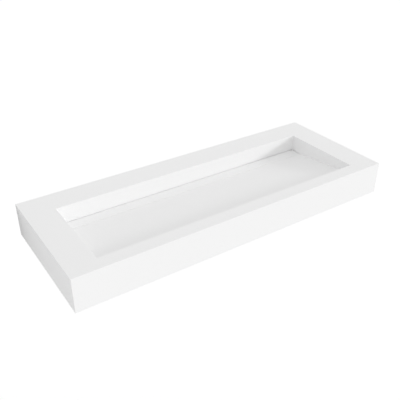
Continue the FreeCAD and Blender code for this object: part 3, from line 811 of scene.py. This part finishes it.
def modelGlue():
    down, left, right, front, back = (0, 0, -1), (-1, 0, 0), (1, 0, 0), (0, -1, 0), (0, 1, 0)
    gap = fillet["endGap"]
    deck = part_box("top_deck")[0].z
    apron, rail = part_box("front_apron")[1].y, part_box("rear_rail")[0].y
    wallFront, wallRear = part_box("bowl_front_wall")[0].y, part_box("bowl_rear_wall")[1].y
    apronLeft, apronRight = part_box("left_apron")[1].x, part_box("right_apron")[0].x
    wallLeft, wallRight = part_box("bowl_left_wall")[0].x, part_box("bowl_right_wall")[1].x
    # along the front apron the fillet stops at each block
    low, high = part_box("glue_blocks")
    pitch = (high.x - low.x - fillet["blockLength"]) / (fillet["blockCount"] - 1)
    stops = [apronLeft + gap]
    for number in range(fillet["blockCount"]):
        block = low.x + number * pitch
        stops += [block - fillet["blockGap"], block + fillet["blockLength"] + fillet["blockGap"]]
    stops.append(apronRight - gap)
    runs = [((a, apron, deck), (b, apron, deck), down, back) for a, b in zip(stops[::2], stops[1::2])]
    for x, side in ((apronLeft, right), (apronRight, left)):
        runs.append(((x, apron + gap, deck), (x, -gap, deck), down, side))
    for x, side in ((wallLeft, left), (wallRight, right)):
        runs.append(((x, wallFront + gap, deck), (x, wallRear - gap, deck), down, side))
    for y, side in ((wallFront, front), (wallRear, back), (rail, front)):
        runs.append(((wallLeft + gap, y, deck), (wallRight - gap, y, deck), down, side))
    fillets = joinPieces([glueRun(*run, seed) for seed, run in enumerate(runs)])
    settle(fillets, "glue_fillets", "basin", glue, smoothAngle=60)


modelTail()
modelBolts()
modelWelds()
modelGlue()


# Studio: white world, a low broad key from the right, and grey cards behind both ends whose grey is painted
# shade of the wall there
studio = {
    "worldLight": 0.773,
    "worldSeen": 1.0,
    "keyFrom": (0.26, -0.20, 0.085),
    "keyStrength": 1.02,
    "keyAngle": 10,
    "floorSize": 60,
    "floorDrop": 2.4,
    "floorColour": (0.90, 0.90, 0.90, 1),
    "floorLift": 0.25,
    # each card's grey is painted shade: the wide cards stand for the shaded wall beyond the ends, the thin
    # near-black one for the deep shade where the left end meets that wall
    "cards": [
        {"size": (0.89, 0.562), "place": (-1.102, 0.004, -0.219), "wallShade": 0.29},
        {"size": (0.05, 0.562), "place": (-0.632, 0.004, -0.219), "wallShade": 0.03},
        {"size": (0.94, 0.562), "place": (1.077, 0.004, -0.219), "wallShade": 0.34},
    ],
}


def seenRays(pen):
    # 1 where the camera looks, also in a reflection or through glass
    path = pen.add("ShaderNodeLightPath")
    seen = path.out("Is Camera Ray") + path.out("Is Glossy Ray") + path.out("Is Transmission Ray")
    return pen.maths("MINIMUM", seen, 1)


def buildWorld():
    world = bpy.data.worlds.new("studioWorld")
    world.use_nodes = True
    world.node_tree.nodes.clear()
    scene.world = world
    pen = Wire(world.node_tree)
    strength = studio["worldLight"] + seenRays(pen) * (studio["worldSeen"] - studio["worldLight"])
    sky = pen.add("ShaderNodeBackground", inputs={"Color": (1, 1, 1, 1), "Strength": strength})
    pen.add("ShaderNodeOutputWorld", inputs={"Surface": sky})


def buildKey():
    clearSelection()
    bpy.ops.object.light_add(type="SUN")
    key = bpy.context.object
    key.name = "key"
    key.rotation_euler = (-Vector(studio["keyFrom"])).to_track_quat("-Z", "Y").to_euler()
    key.data.energy = studio["keyStrength"]
    key.data.angle = math.radians(studio["keyAngle"])
    # its glare would wash out the deck, seen from behind
    key.visible_glossy = False


def buildFloor():
    clearSelection()
    bpy.ops.mesh.primitive_plane_add(size=studio["floorSize"], location=(0, 0, -studio["floorDrop"]))
    floor = bpy.context.object
    floor.name = "floor"
    material, pen = startMaterial("paleFloor")
    matt = pen.add("ShaderNodeBsdfDiffuse", inputs={"Color": studio["floorColour"]})
    glow = seenRays(pen) * studio["floorLift"]
    lift = pen.add("ShaderNodeEmission", inputs={"Color": (1, 1, 1, 1), "Strength": glow})
    both = pen.add("ShaderNodeAddShader", inputs={0: matt, 1: lift})
    pen.add("ShaderNodeOutputMaterial", inputs={"Surface": both})
    floor.data.materials.append(material)


def buildCards():
    # out of the camera's sight, they keep light from the wall's side off the end faces; their grey is
    # painted shade, standing for the wall in shadow beside the basin
    for number, card in enumerate(studio["cards"]):
        clearSelection()
        bpy.ops.mesh.primitive_plane_add(size=1, location=card["place"], rotation=(math.pi / 2, 0, 0))
        flag = bpy.context.object
        flag.name = f"flag{number}"
        flag.scale = (*card["size"], 1)
        flag.visible_camera = flag.visible_glossy = flag.visible_transmission = False
        material, pen = startMaterial(f"wallShadeCard{number}")
        # the card's colour is painted shade of the wall behind the basin
        wallShade = (card["wallShade"], card["wallShade"], card["wallShade"], 1)
        matt = pen.add("ShaderNodeBsdfDiffuse", inputs={"Color": wallShade})
        pen.add("ShaderNodeOutputMaterial", inputs={"Surface": matt})
        flag.data.materials.append(material)


# Camera at the photograph's angle
shot = {
    "place": (-0.95772, -1.61078, 1.00893),
    "azimuth": -33.69,
    "elevation": 31.16,
    "lens": 50,
    "sensor": 36,
}


def placeCamera():
    clearSelection()
    bpy.ops.object.camera_add(location=shot["place"])
    camera = bpy.context.object
    turn, rise = math.radians(shot["azimuth"]), math.radians(shot["elevation"])
    back = Vector((math.sin(turn) * math.cos(rise), -math.cos(turn) * math.cos(rise), math.sin(rise)))
    camera.rotation_euler = (-back).to_track_quat("-Z", "Y").to_euler()
    camera.data.lens = shot["lens"]
    camera.data.sensor_width = shot["sensor"]
    scene.camera = camera
    print("camera placed")


buildWorld()
buildKey()
buildFloor()
buildCards()
print("studio lit")
placeCamera()
